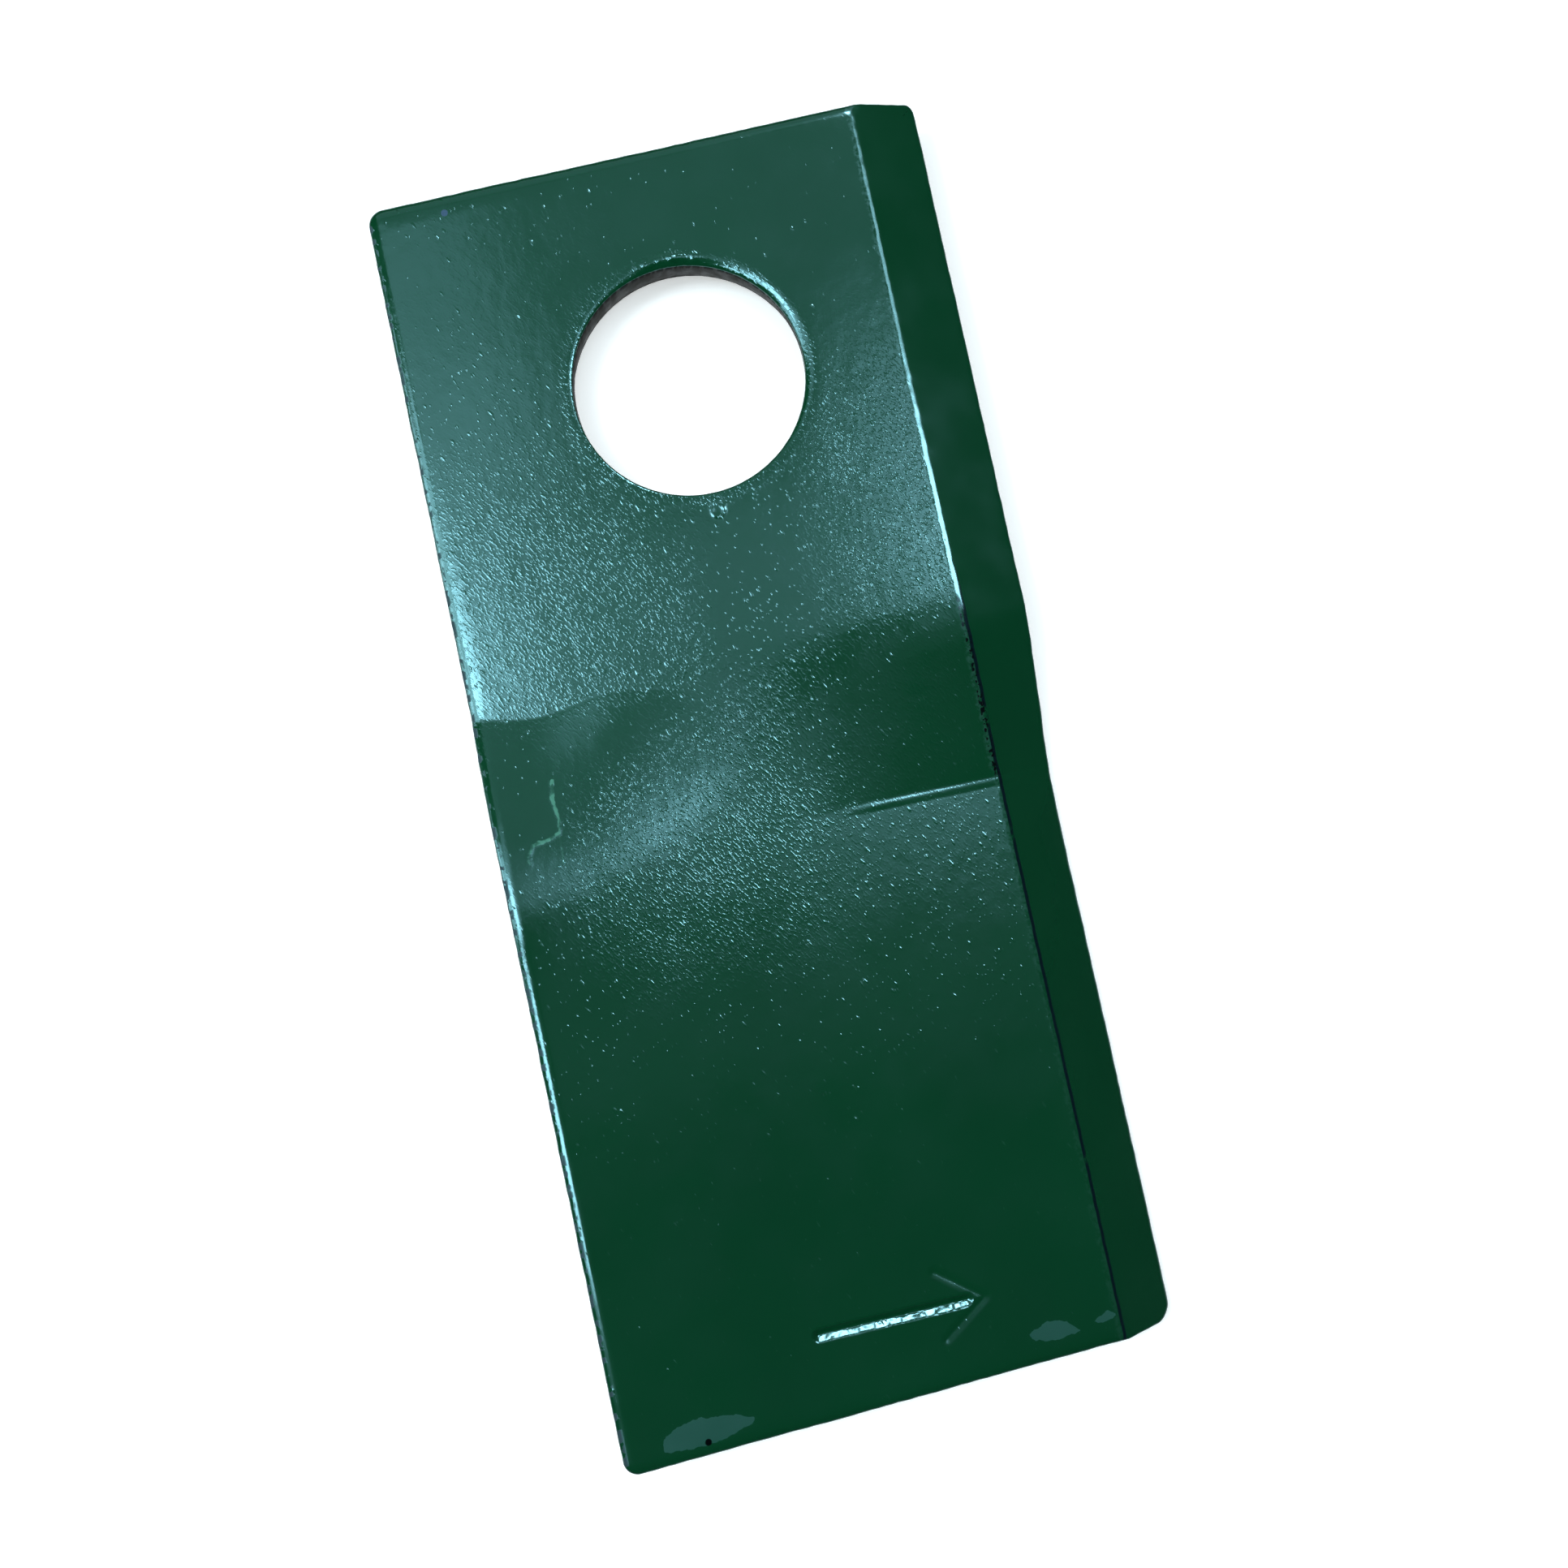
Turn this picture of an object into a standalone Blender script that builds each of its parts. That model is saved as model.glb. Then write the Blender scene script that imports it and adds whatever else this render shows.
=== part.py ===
"""Twisted blade for a disc mower, in metres, +Z up.

The blade lies on a floor, face up. +X points to its cutting edge and +Y to the end with the
pin hole. The origin is on the floor, under the middle of the blade.
"""

import math

import bmesh
import bpy
from mathutils import Matrix, Vector

MM = 0.001

# Blank, as sheared from flat bar
BLADE_LENGTH = 110.0 * MM
BLADE_WIDTH = 49.3 * MM
BLADE_THICKNESS = 4.0 * MM
CORNER_TIP_CUTTING = 1.7 * MM
CORNER_TIP_TRAILING = 1.3 * MM
CORNER_HEAD_CUTTING = 0.8 * MM
CORNER_HEAD_TRAILING = 1.5 * MM
SHEAR_ROLL_WIDTH = 1.1 * MM
SHEAR_ROLL_DEPTH = 0.3 * MM
UNDERSIDE_BREAK = 0.2 * MM

# Ground bevels: one on the face along the cutting edge, one on the underside along the other
BEVEL_WIDTH = 5.8 * MM
EDGE_LAND = 1.1 * MM

# Pin hole, punched through the head from the face
HOLE_DIAMETER = 20.3 * MM
HOLE_FROM_END = 20.8 * MM
HOLE_LIP_RADIUS = 0.4 * MM
HOLE_SHEARED_DEPTH = 1.6 * MM
HOLE_BREAKOUT = 0.45 * MM

# Twist, pressed between tools with sharp edges on the inside of each bend
TWIST_ANGLE = math.radians(10.0)
TWIST_START = 46.4 * MM
TWIST_RUN = 13.8 * MM
SOFT_BEND_HALF = 2.2 * MM
TOOL_NOSE_HALF = 0.25 * MM
CENTRE_BLEND_HALF = 6.0 * MM

# Paint
PAINT_GREEN = (0.004, 0.075, 0.028, 1.0)
PAINT_ROUGHNESS = 0.38

# Fineness of the curves
CORNER_STEPS = 5
ROLL_STEPS = 3
HOLE_SIDES = 72
LIP_STEPS = 4
LIP_TOP_ANGLE = math.radians(75.0)
TWIST_STATIONS = 7
BEND_STATIONS = 4
TWIST_COLUMNS = 8
SHARP_ANGLE = math.radians(28.0)
CUT_MARGIN = 2.0 * MM


def clear_scene():
    for item in list(bpy.data.objects):
        bpy.data.objects.remove(item, do_unlink=True)


def outline(inset):
    """Plan of the blank as a counterclockwise ring, moved inwards by inset, with round corners."""
    half_width = BLADE_WIDTH / 2 - inset
    half_length = BLADE_LENGTH / 2 - inset
    corners = (
        (1, 1, CORNER_HEAD_CUTTING),
        (-1, 1, CORNER_HEAD_TRAILING),
        (-1, -1, CORNER_TIP_TRAILING),
        (1, -1, CORNER_TIP_CUTTING),
    )
    ring = []
    for quarter, (side, end, full_radius) in enumerate(corners):
        radius = max(full_radius - inset, full_radius / 8)
        for step in range(CORNER_STEPS + 1):
            angle = (quarter + step / CORNER_STEPS) * math.pi / 2
            x = side * (half_width - radius) + radius * math.cos(angle)
            y = end * (half_length - radius) + radius * math.sin(angle)
            ring.append((x, y))
    return ring


def shear_levels():
    """Height and inset of each ring of the blank: the broken lower edge, then the rolled upper one."""
    half = BLADE_THICKNESS / 2
    levels = [(-half, UNDERSIDE_BREAK), (-half + UNDERSIDE_BREAK, 0.0)]
    for step in range(ROLL_STEPS + 1):
        share = step / ROLL_STEPS
        drop = SHEAR_ROLL_DEPTH * (1 - share) ** 2
        levels.append((half - drop, SHEAR_ROLL_WIDTH * share))
    return levels


def shear_blank():
    """Flat blank with its middle at the origin, as a closed bmesh."""
    blank = bmesh.new()
    rings = []
    for height, inset in shear_levels():
        rings.append([blank.verts.new((x, y, height)) for x, y in outline(inset)])
    blank.faces.new(list(reversed(rings[0])))
    for lower, upper in zip(rings, rings[1:]):
        count = len(lower)
        for i in range(count):
            j = (i + 1) % count
            blank.faces.new((lower[i], lower[j], upper[j], upper[i]))
    blank.faces.new(rings[-1])
    return blank


def everything(mesh):
    return mesh.verts[:] + mesh.edges[:] + mesh.faces[:]


def grind_bevel(blank, side):
    """Cuts one bevel: side 1 is the cutting edge on the face, side -1 the other edge underneath."""
    inner = Vector((side * (BLADE_WIDTH / 2 - BEVEL_WIDTH), 0.0, side * BLADE_THICKNESS / 2))
    drop = BLADE_THICKNESS - EDGE_LAND
    normal = Vector((side * drop, 0.0, side * BEVEL_WIDTH)).normalized()
    bmesh.ops.bisect_plane(
        blank, geom=everything(blank), dist=1e-7, plane_co=inner, plane_no=normal, clear_outer=True
    )
    rim = [edge for edge in blank.edges if edge.is_boundary]
    bmesh.ops.contextual_create(blank, geom=rim)


def twist_stations():
    """Distances from the head end at which the twisted stretch is divided."""
    twist_end = TWIST_START + TWIST_RUN
    stations = {TWIST_START, twist_end}
    for bend in (TWIST_START, twist_end):
        for step in range(-BEND_STATIONS, BEND_STATIONS + 1):
            stations.add(bend + SOFT_BEND_HALF * step / BEND_STATIONS)
        stations.add(bend - TOOL_NOSE_HALF)
        stations.add(bend + TOOL_NOSE_HALF)
    for step in range(1, TWIST_STATIONS):
        stations.add(TWIST_START + TWIST_RUN * step / TWIST_STATIONS)
    return sorted(stations)


def divide_for_twist(blank):
    """Splits the blank across at each station, and lengthwise only where it will be twisted."""
    stations = twist_stations()
    across = Vector((0.0, 1.0, 0.0))
    for station in stations:
        place = Vector((0.0, BLADE_LENGTH / 2 - station, 0.0))
        bmesh.ops.bisect_plane(
            blank, geom=everything(blank), dist=1e-7, plane_co=place, plane_no=across
        )
    head_limit = BLADE_LENGTH / 2 - stations[0]
    tip_limit = BLADE_LENGTH / 2 - stations[-1]
    inner_half = BLADE_WIDTH / 2 - BEVEL_WIDTH
    for column in range(TWIST_COLUMNS + 1):
        x = inner_half * (2 * column / TWIST_COLUMNS - 1)
        zone = [
            face
            for face in blank.faces
            if tip_limit < face.calc_center_median().y < head_limit
        ]
        edges = {edge for face in zone for edge in face.edges}
        corners = {vert for face in zone for vert in face.verts}
        bmesh.ops.bisect_plane(
            blank,
            geom=list(corners) + list(edges) + zone,
            dist=1e-7,
            plane_co=Vector((x, 0.0, 0.0)),
            plane_no=Vector((1.0, 0.0, 0.0)),
        )


def rounded_ramp(distance, half):
    """0 before the bend and distance after it, with the corner rounded over half on each side."""
    if distance <= -half:
        return 0.0
    if distance >= half:
        return distance
    return (distance + half) ** 2 / (4 * half)


def roll_angle(station, start_half, end_half):
    """Roll of the section at a station: half the twist one way at the head, half back at the tip."""
    begun = rounded_ramp(station - TWIST_START, start_half)
    ended = rounded_ramp(station - TWIST_START - TWIST_RUN, end_half)
    return TWIST_ANGLE * (0.5 - (begun - ended) / TWIST_RUN)


def pressed(point):
    """Where a point of the flat blank goes when the blade is twisted.

    On the face, the cutting side bends softly at the start and sharply at the end, and the
    trailing side the other way about. The underside has the same bends on opposite sides.
    """
    station = BLADE_LENGTH / 2 - point.y
    side = max(-1.0, min(1.0, point.x / CENTRE_BLEND_HALF))
    share = 0.5 + side * point.z / BLADE_THICKNESS
    soft_first = roll_angle(station, SOFT_BEND_HALF, TOOL_NOSE_HALF)
    sharp_first = roll_angle(station, TOOL_NOSE_HALF, SOFT_BEND_HALF)
    angle = share * soft_first + (1 - share) * sharp_first
    return Vector(
        (
            point.x * math.cos(angle) - point.z * math.sin(angle),
            point.y,
            point.x * math.sin(angle) + point.z * math.cos(angle),
        )
    )


def lowest(section, roll):
    return min(x * math.sin(roll) + z * math.cos(roll) for x, z in section)


def resting_roll(blank):
    """Small roll, on top of the twist, at which both halves of the blade touch the floor."""
    section = {(vert.co.x, vert.co.z) for vert in blank.verts}
    least = -TWIST_ANGLE / 2
    most = TWIST_ANGLE / 2
    for _ in range(40):
        middle = (least + most) / 2
        head = lowest(section, TWIST_ANGLE / 2 + middle)
        tip = lowest(section, -TWIST_ANGLE / 2 + middle)
        if tip < head:
            least = middle
        else:
            most = middle
    return (least + most) / 2


def paint():
    material = bpy.data.materials.new("green paint")
    material.use_nodes = True
    shader = material.node_tree.nodes["Principled BSDF"]
    shader.inputs["Base Color"].default_value = PAINT_GREEN
    shader.inputs["Roughness"].default_value = PAINT_ROUGHNESS
    shader.inputs["Metallic"].default_value = 0.0
    material.diffuse_color = PAINT_GREEN
    return material


def punch_profile():
    """Radius and height of the punch, from below the blade to above it.

    The breakout widens it downwards, and a round lip flares it out through the face.
    """
    half = BLADE_THICKNESS / 2
    radius = HOLE_DIAMETER / 2
    breakout_top = half - HOLE_SHEARED_DEPTH
    breakout_slope = HOLE_BREAKOUT / (BLADE_THICKNESS - HOLE_SHEARED_DEPTH)
    lowest_radius = radius + HOLE_BREAKOUT + breakout_slope * CUT_MARGIN
    profile = [(lowest_radius, -half - CUT_MARGIN), (radius, breakout_top)]
    for step in range(LIP_STEPS + 1):
        angle = LIP_TOP_ANGLE * step / LIP_STEPS
        out = HOLE_LIP_RADIUS * (1 - math.cos(angle))
        rise = HOLE_LIP_RADIUS * math.sin(angle)
        profile.append((radius + out, half - HOLE_LIP_RADIUS + rise))
    lip_radius, lip_height = profile[-1]
    profile.append((lip_radius + CUT_MARGIN * math.tan(LIP_TOP_ANGLE), lip_height + CUT_MARGIN))
    return profile


def build_punch(name):
    """Turned cutter for the pin hole, with its axis on Z and the blank's middle plane at z = 0."""
    profile = punch_profile()
    cutter = bmesh.new()
    rings = []
    for radius, height in profile:
        ring = []
        for side in range(HOLE_SIDES):
            angle = 2 * math.pi * side / HOLE_SIDES
            ring.append(cutter.verts.new((radius * math.cos(angle), radius * math.sin(angle), height)))
        rings.append(ring)
    cutter.faces.new(list(reversed(rings[0])))
    for lower, upper in zip(rings, rings[1:]):
        for i in range(HOLE_SIDES):
            j = (i + 1) % HOLE_SIDES
            cutter.faces.new((lower[i], lower[j], upper[j], upper[i]))
    cutter.faces.new(rings[-1])
    mesh = bpy.data.meshes.new(name)
    cutter.to_mesh(mesh)
    cutter.free()
    punch = bpy.data.objects.new(name, mesh)
    bpy.context.scene.collection.objects.link(punch)
    punch.hide_render = True
    punch.display_type = "WIRE"
    return punch


def build_blade():
    blank = shear_blank()
    grind_bevel(blank, 1)
    grind_bevel(blank, -1)
    extra_roll = resting_roll(blank)
    divide_for_twist(blank)
    for vert in blank.verts:
        vert.co = pressed(vert.co)
    settle = Matrix.Rotation(-extra_roll, 4, "Y")
    bmesh.ops.transform(blank, matrix=settle, verts=blank.verts)
    lift = -min(vert.co.z for vert in blank.verts)
    bmesh.ops.translate(blank, vec=(0.0, 0.0, lift), verts=blank.verts)
    bmesh.ops.recalc_face_normals(blank, faces=blank.faces)
    mesh = bpy.data.meshes.new("blade")
    blank.to_mesh(mesh)
    blank.free()
    mesh.shade_smooth()
    mesh.set_sharp_from_angle(angle=SHARP_ANGLE)
    mesh.materials.append(paint())
    blade = bpy.data.objects.new("blade", mesh)
    bpy.context.scene.collection.objects.link(blade)

    punch = build_punch("pin_hole_punch")
    punch.location = (0.0, BLADE_LENGTH / 2 - HOLE_FROM_END, lift)
    punch.rotation_euler = (0.0, -(TWIST_ANGLE / 2 + extra_roll), 0.0)
    hole = blade.modifiers.new("pin hole", "BOOLEAN")
    hole.operation = "DIFFERENCE"
    hole.solver = "EXACT"
    hole.object = punch
    return blade


clear_scene()
build_blade()
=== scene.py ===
"""Looks of the twisted disc mower blade: a fine mesh of the blade, its paint and a plain studio.

The blade is meshed flat, in millimetres, with +X to the cutting edge, +Y to the end with the pin
hole and z = 0 in the middle of its thickness. Then it is twisted and laid on the floor as in the
part's source, with softer soft bends, and scaled to metres. A station is a distance from the head
end, the one with the pin hole.
"""

import math

import bpy
import numpy as np
from mathutils import Matrix, Vector, kdtree, noise
from mathutils.geometry import delaunay_2d_cdt


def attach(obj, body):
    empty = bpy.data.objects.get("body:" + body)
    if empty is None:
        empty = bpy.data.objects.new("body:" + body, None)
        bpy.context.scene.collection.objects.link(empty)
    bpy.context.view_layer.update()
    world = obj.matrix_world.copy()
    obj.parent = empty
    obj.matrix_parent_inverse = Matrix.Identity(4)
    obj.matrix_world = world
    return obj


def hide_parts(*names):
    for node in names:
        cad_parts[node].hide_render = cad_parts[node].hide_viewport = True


MM = 0.001

# Blank
LENGTH = 110.0
WIDTH = 49.3
THICKNESS = 4.0
HALF = THICKNESS / 2
CORNER_TIP_CUTTING = 1.7
CORNER_TIP_TRAILING = 1.3
CORNER_HEAD_CUTTING = 0.8
CORNER_HEAD_TRAILING = 1.5
SHEAR_ROLL_WIDTH = 1.1
SHEAR_ROLL_DEPTH = 0.3
PAINT_ROUND = 0.15
EDGE_WOBBLE = 0.12
WALL_ROUGHNESS = 0.05

# Ground bevels
BEVEL_WIDTH = 5.8
EDGE_LAND = 1.1
BEVEL_LINE = WIDTH / 2 - BEVEL_WIDTH
BEVEL_DEPTH = THICKNESS - EDGE_LAND
SHOULDER_ROUND = 0.3
SHOULDER_BOW = 0.16
SHOULDER_STEP = 0.12
SHOULDER_NICKS = 0.05
SHOULDER_BURR = 0.025

# Pin hole
HOLE_RADIUS = 10.15
HOLE_Y = LENGTH / 2 - 20.8
HOLE_LIP = 0.5
HOLE_LIP_WIDTH = 1.25
HOLE_LIP_WIDEST = math.radians(35.0)
HOLE_LIP_LEAST_SHARE = 0.35
HOLE_SHEARED_DEPTH = 1.6
HOLE_BREAKOUT = 0.45
BURR_MIDDLE = math.radians(87.0)
BURR_HALF_ANGLE = math.radians(19.0)
BURR_RADIUS = HOLE_RADIUS + 0.6
BURR_HEIGHT = 0.38
BURR_HALF_WIDTH = 0.28

# Twist
TWIST_ANGLE = math.radians(10.0)
TWIST_START = 46.4
TWIST_RUN = 13.8
SOFT_START_HALF = 2.4
SOFT_END_HALF = 5.5
TOOL_NOSE_HALF = 0.12
CENTRE_BLEND_HALF = 6.0
REST_ROLL = math.radians(0.6536)
CREASE_WAVE = 0.4
CREASE_WAVE_LENGTH = 12.5
CREASE_WAVE_PEAK = -19.0
IMPRINT_DEPTH = 0.05
IMPRINT_LINE = 0.6
IMPRINT_HALF = 0.22

# Stamped arrow: ends of strokes as (station, distance from the middle line)
ARROW_TAIL = (102.75, -6.7)
ARROW_NECK = (103.1, 6.3)
ARROW_POINT = (103.2, 7.9)
ARROW_BARBS = ((100.1, 4.0), (105.8, 3.9))
ARROW_HALF_WIDTH = 0.62
ARROW_DEPTH = 0.40
ARROW_BARB_SHARE = 0.4

# Bare patches where the paint has come off, as outlines of such places
PATCHES = (
    (
        (107.7, -21.2),
        (108.7, -21.2),
        (109.0, -19.1),
        (109.0, -16.4),
        (108.3, -13.8),
        (107.8, -13.3),
        (107.1, -15.3),
        (106.7, -17.9),
        (107.0, -20.05),
    ),
    (
        (107.3, 10.9),
        (107.9, 11.25),
        (108.3, 13.0),
        (108.1, 15.5),
        (107.0, 14.4),
        (106.5, 12.7),
    ),
    (
        (107.6, 16.7),
        (107.9, 17.5),
        (107.6, 19.0),
        (107.0, 18.1),
    ),
)

# Dried run and thread of paint, as lines of such places
PAINT_RUN = (
    (52.5, -18.8),
    (54.2, -19.1),
    (56.0, -18.9),
    (57.05, -19.1),
    (57.5, -20.2),
    (57.7, -21.5),
    (58.7, -22.2),
    (59.2, -22.0),
)
PAINT_THREAD = ((57.2, -19.15), (62.2, -19.5))
PAINT_RUN_HALF = 0.28
PAINT_RUN_HEIGHT = 0.03

# Crater of a burst bubble, ink spot and dark dot, by place and radius
CRATER = (32.55, 0.1)
CRATER_RADIUS = 0.55
CRATER_HALF_WIDTH = 0.16
CRATER_HEIGHT = 0.09
INK_SPOT = (1.7, -17.8)
INK_SPOT_RADIUS = 0.30
DARK_DOT = (108.8, -17.5)
DARK_DOT_RADIUS = 0.28

# Relief of the paint
COARSE_NIB_HEIGHT = 0.019
FINE_NIB_HEIGHT = 0.011
ORANGE_PEEL_HEIGHT = 0.020
GRAIN_HEIGHT_LEAST = 0.007
GRAIN_HEIGHT_MOST = 0.012

# Colours
GREEN_DEEP = (0.0010, 0.034, 0.011, 1.0)
GREEN_LIGHT = (0.0016, 0.046, 0.0155, 1.0)
GLOSS_TINT = (0.45, 0.87, 1.0, 1.0)
NIB_PALE = (0.05, 0.16, 0.12, 1.0)
BARE_PALE = (0.010, 0.066, 0.042, 1.0)
DRIED_PALE = (0.06, 0.21, 0.14, 1.0)
# Pale of the rubbed shoulder, which also stands in as its painted highlight
RUBBED_AND_HIGHLIGHT_PALE = (0.045, 0.125, 0.105, 1.0)
# Dark of the shoulder line past the bend: painted shade
SHOULDER_PAINTED_SHADE = (0.0012, 0.0065, 0.010, 1.0)
PIT_DARK = (0.0010, 0.0015, 0.0015, 1.0)
NOTCH_DARK = (0.0020, 0.0018, 0.0015, 1.0)
DOT_DARK = (0.0005, 0.0005, 0.0005, 1.0)
INK_BLUE = (0.0005, 0.001, 0.05, 1.0)
# Near-black paint on the hole's wall: the wall's own dark colour, darkened further as painted shade
HOLE_PAINT_AND_SHADE = (0.002, 0.003, 0.0025, 1.0)
HOLE_DIRT = (0.011, 0.010, 0.007, 1.0)
FLOOR_PALE = (0.8, 0.8, 0.8, 1.0)
FLOOR_GLOW = 0.5
COOL = (0.80, 0.95, 1.0)
WORLD_STRENGTH = 0.05

# Lamps that face the blade: name, place, size and radiance, in metres
WINDOWS = (
    ("left_window", (-0.172, 0.044, 0.30), (0.10, 0.09), 17.0),
    ("left_halo", (-0.145, 0.065, 0.30), (0.10, 0.10), 1.3),
    ("left_glow", (-0.130, 0.080, 0.30), (0.13, 0.13), 0.6),
    ("left_back", (-0.130, 0.150, 0.30), (0.10, 0.09), 1.0),
    ("centre_panel", (-0.030, 0.062, 0.30), (0.09, 0.06), 0.45),
    ("back_panel", (-0.060, 0.135, 0.31), (0.24, 0.21), 0.5),
    ("top_window", (0.033, 0.088, 0.30), (0.05, 0.07), 2.6),
    ("top_pane", (0.034, 0.064, 0.30), (0.030, 0.030), 4.0),
    ("middle_panel", (0.085, 0.022, 0.30), (0.15, 0.075), 0.75),
    ("low_panel", (0.060, -0.040, 0.30), (0.20, 0.05), 0.15),
    ("right_panel", (0.120, 0.022, 0.30), (0.10, 0.075), 0.5),
)

# Lamps that only show as reflections
HIGHLIGHTS = (
    ("far_left_window", (-0.290, 0.080, 0.26), (0.20, 0.15), 6.0),
    ("side_window", (-0.370, 0.080, 0.14), (0.20, 0.16), 5.0),
    ("far_back_panel", (-0.030, 0.420, 0.30), (0.50, 0.26), 0.6),
    ("low_left_window", (-0.200, -0.066, 0.30), (0.09, 0.09), 18.0),
    ("right_window", (0.190, 0.080, 0.30), (0.17, 0.07), 24.0),
    ("right_back_window", (0.190, 0.160, 0.30), (0.12, 0.08), 6.0),
    ("head_window", (0.098, 0.305, 0.30), (0.09, 0.06), 40.0),
)

# Lamp that lights the colours and shows in no reflection
SOFT_KEY = ("soft_key", (0.0, 0.0, 0.50), (0.50, 0.50), 1.5)

# Fineness of the mesh
RING_SPACING = 0.6
SHOULDER_SPACING = 0.35
EDGE_INSETS = (0.0, 0.02, 0.06, 0.15, 0.3, 0.5, 0.75, 1.1)
LIP_INSETS = (0.0, 0.01, 0.04, 0.1, 0.18, 0.28, 0.4, 0.65, 1.0, 1.4)
HOLE_SIDES = 320
WALL_LEVELS = 6
FACE_SPACING = 0.85
ROW_SHARE = 0.87

# Camera, solved from the outline of the blade in the photograph
CAMERA_PLACE = (-0.011207, -0.008687, 0.141010)
CAMERA_TURN = (3.823, -4.2159, -12.2773)
CAMERA_LENS = 36.376
SENSOR_WIDTH = 36.0


def mix(a, b, share):
    return a + (b - a) * share


def smooth_share(value, start, end):
    """0 at start and 1 at end, with an even slope at both."""
    share = np.clip((value - start) / (end - start), 0.0, 1.0)
    return share * share * (3 - 2 * share)


def perlin(x, y, z, size):
    """Noise from about -1 to 1 at each point, with features of a size."""
    points = zip(np.ravel(x) / size, np.ravel(y) / size, np.ravel(z) / size)
    values = [noise.noise(Vector(point)) for point in points]
    return np.array(values).reshape(np.shape(x))


def edge_distance(x, y):
    """Distance inwards from the outline of the blank, and the direction outwards."""
    radius = np.where(
        y > 0,
        np.where(x > 0, CORNER_HEAD_CUTTING, CORNER_HEAD_TRAILING),
        np.where(x > 0, CORNER_TIP_CUTTING, CORNER_TIP_TRAILING),
    )
    across = np.abs(x) - (WIDTH / 2 - radius)
    along = np.abs(y) - (LENGTH / 2 - radius)
    corner_x = np.maximum(across, 0.0)
    corner_y = np.maximum(along, 0.0)
    reach = np.hypot(corner_x, corner_y)
    distance = radius - reach - np.minimum(np.maximum(across, along), 0.0)
    flat_side = reach < 1e-9
    safe = np.where(flat_side, 1.0, reach)
    out_x = np.where(flat_side, across >= along, corner_x / safe) * np.sign(x)
    out_y = np.where(flat_side, across < along, corner_y / safe) * np.sign(y)
    return distance, out_x, out_y


def rounded_drop(distance, radius):
    """Drop of a quarter-round edge at a distance inwards from it."""
    short = np.clip(radius - distance, 0.0, radius)
    return radius - np.sqrt(radius * radius - short * short)


def bevel_drop(x, shoulder):
    """Drop of a ground bevel from its shoulder outwards, with the shoulder rounded by the paint."""
    slope = BEVEL_DEPTH / (WIDTH / 2 - shoulder)
    return slope * rounded_ramp(x - shoulder, SHOULDER_ROUND)


def even_shoulder(y):
    """Distance from the middle line to the face bevel's shoulder, which isn't quite straight."""
    station = LENGTH / 2 - y
    twist_end = TWIST_START + TWIST_RUN
    bow = SHOULDER_BOW * np.sin(math.pi * np.clip(station / twist_end, 0.0, 1.0))
    step = SHOULDER_STEP * smooth_share(station, twist_end - 1.5, twist_end)
    return BEVEL_LINE - bow + step


def nicks(y):
    """How far small nicks move the shoulder outwards."""
    return SHOULDER_NICKS * perlin(y, 0 * y, 0 * y + 7.0, 1.1)


def crater(x, y):
    """Ring left by a burst bubble in the paint."""
    radius = np.hypot(x - CRATER[1], y - LENGTH / 2 + CRATER[0])
    ring = np.exp(-(((radius - CRATER_RADIUS) / CRATER_HALF_WIDTH) ** 2))
    return CRATER_HEIGHT * ring * (0.7 + 0.6 * perlin(x, y, 0 * x + 1.0, 0.6))


def hole_distance(x, y):
    return np.hypot(x, y - HOLE_Y) - HOLE_RADIUS


def segment_distance(x, y, start, end):
    """Distance of each point from the straight line between two places on the blade."""
    ax, ay = start[1], LENGTH / 2 - start[0]
    bx, by = end[1], LENGTH / 2 - end[0]
    run_x, run_y = bx - ax, by - ay
    share = ((x - ax) * run_x + (y - ay) * run_y) / (run_x**2 + run_y**2)
    share = np.clip(share, 0.0, 1.0)
    return np.hypot(x - ax - share * run_x, y - ay - share * run_y)


def line_distance(x, y, places):
    distances = [segment_distance(x, y, a, b) for a, b in zip(places, places[1:])]
    return np.min(distances, axis=0)


def arrow_distance(x, y):
    """Distance from the shaft, and from the barbs."""
    shaft = segment_distance(x, y, ARROW_TAIL, ARROW_NECK)
    barbs = [segment_distance(x, y, ARROW_POINT, barb) for barb in ARROW_BARBS]
    return shaft, np.min(barbs, axis=0)


def patch_distance(x, y):
    """Distance outside the nearest bare patch, negative inside it."""
    nearest = np.full(np.shape(x), 1000.0)
    for places in PATCHES:
        closed = places + places[:1]
        distance = line_distance(x, y, closed)
        inside = np.zeros(np.shape(x), bool)
        for a, b in zip(closed, closed[1:]):
            ax, ay = a[1], LENGTH / 2 - a[0]
            bx, by = b[1], LENGTH / 2 - b[0]
            spans = (ay > y) != (by > y)
            rise = by - ay if by != ay else 1e-9
            crossing = ax + (y - ay) * (bx - ax) / rise
            inside ^= spans & (x < crossing)
        nearest = np.minimum(nearest, np.where(inside, -distance, distance))
    return nearest


def crease_stations(x):
    """Stations at which the twist starts and ends, with the wave of the pressed crease."""
    wave = CREASE_WAVE * np.cos(2 * math.pi * (x - CREASE_WAVE_PEAK) / CREASE_WAVE_LENGTH)
    start = TWIST_START + wave * smooth_share(-x, 0.0, 6.0)
    end = np.full(np.shape(x), TWIST_START + TWIST_RUN)
    return start, end


def imprint(x, y):
    """Marks of the tool: a shallow groove at one crease, a thin lip and a line at the other."""
    station = LENGTH / 2 - y
    start, end = crease_stations(x)
    left = 0.2 * np.exp(-(((station - start) / IMPRINT_HALF) ** 2)) * smooth_share(-x, 5.0, 10.0)
    past = station - end - 0.1
    lip = np.exp(-((past / np.where(past < 0, 0.6 * IMPRINT_HALF, 2.0 * IMPRINT_HALF)) ** 2))
    line = np.exp(-(((past - IMPRINT_LINE) / (0.6 * IMPRINT_HALF)) ** 2))
    right = (0.3 * line - lip) * smooth_share(x, 4.0, 8.0)
    return IMPRINT_DEPTH * (left + right)


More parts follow.
